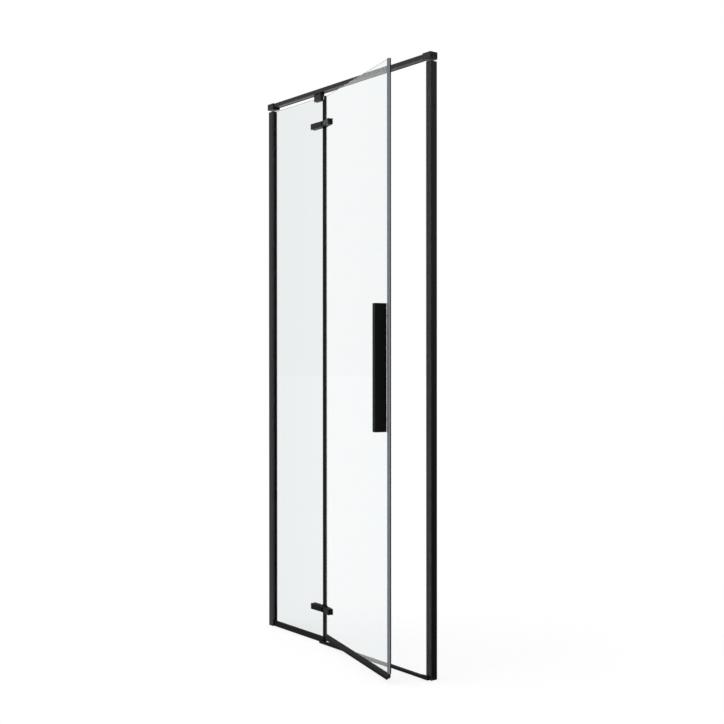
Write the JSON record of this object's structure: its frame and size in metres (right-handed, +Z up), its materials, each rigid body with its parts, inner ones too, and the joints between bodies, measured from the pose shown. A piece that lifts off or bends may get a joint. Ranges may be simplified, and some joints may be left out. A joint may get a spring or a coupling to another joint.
{
  "type": "pivot shower door",
  "caption": "Black-framed alcove shower door: a fixed glass panel carries a glass door on two pivot hinges, with a top rail, a low threshold and one long bar handle.",
  "frame": {"origin": "on the floor, midway between the two walls and in the middle of the fixed glass's thickness", "axes": "X from the left wall to the right wall, Y from the room into the shower, Z up"},
  "size_m": [0.9, 0.1899, 1.95],
  "materials": {
    "powder_coated_aluminium": "matt black powder coat",
    "coated_hinge_metal": "satin black coat",
    "toughened_glass": "clear, polished",
    "black_rubber": "extruded, matt",
    "black_pvc": "extruded, satin",
    "grey_pvc": "extruded, satin",
    "magnetic_rubber": "flexible magnet",
    "stainless_steel": "bright",
    "acetal": "moulded"
  },
  "bodies": {
    "frame": {"left_post": "powder_coated_aluminium", "right_post": "powder_coated_aluminium", "left_post_cap": "powder_coated_aluminium", "right_post_cap": "powder_coated_aluminium", "left_rail_block": "powder_coated_aluminium", "right_rail_block": "powder_coated_aluminium", "top_rail": "powder_coated_aluminium", "rail_clamp": "powder_coated_aluminium", "fixed_bottom_channel": "powder_coated_aluminium", "threshold": "powder_coated_aluminium", "threshold_end_cap": "powder_coated_aluminium", "left_wall_channel": "powder_coated_aluminium", "right_wall_channel": "powder_coated_aluminium", "top_hinge_frame_plate_front": "coated_hinge_metal", "top_hinge_frame_plate_back": "coated_hinge_metal", "bottom_hinge_frame_plate_front": "coated_hinge_metal", "bottom_hinge_frame_plate_back": "coated_hinge_metal", "fixed_glass": "toughened_glass", "left_post_gasket": "black_rubber", "fixed_bottom_gasket": "black_rubber", "rail_clamp_liner": "black_rubber", "top_hinge_frame_pads": "black_rubber", "bottom_hinge_frame_pads": "black_rubber", "fixed_edge_seal": "black_pvc", "strike_strip": "black_pvc", "strike_magnet": "magnetic_rubber", "post_side_screws": "stainless_steel", "rail_block_set_screws": "stainless_steel", "rail_clamp_bolt": "stainless_steel", "rail_clamp_nut": "stainless_steel", "top_hinge_pin": "stainless_steel", "bottom_hinge_pin": "stainless_steel", "top_hinge_frame_screws": "stainless_steel", "bottom_hinge_frame_screws": "stainless_steel", "top_hinge_washers": "acetal", "bottom_hinge_washers": "acetal"},
    "door": {"door_glass": "toughened_glass", "door_hinge_seal": "black_rubber", "door_edge_seal": "grey_pvc", "door_edge_magnet": "magnetic_rubber", "door_bottom_profile": "powder_coated_aluminium", "door_drip_seal": "black_rubber", "handle": "powder_coated_aluminium", "handle_pad": "black_rubber", "handle_ferrules": "acetal", "handle_screws": "stainless_steel", "top_hinge_door_plate_front": "coated_hinge_metal", "top_hinge_door_plate_back": "coated_hinge_metal", "top_hinge_door_pads": "black_rubber", "top_hinge_door_screws": "stainless_steel", "top_hinge_bush": "acetal", "bottom_hinge_door_plate_front": "coated_hinge_metal", "bottom_hinge_door_plate_back": "coated_hinge_metal", "bottom_hinge_door_pads": "black_rubber", "bottom_hinge_door_screws": "stainless_steel", "bottom_hinge_bush": "acetal"}
  },
  "joints": [
    {"name": "door_swing", "type": "hinge", "parent": "frame", "child": "door", "pos_m": [-0.11, 0, 0], "axis": [0, 0, -1], "range_deg": [-15.3, 74.7]}
  ]
}
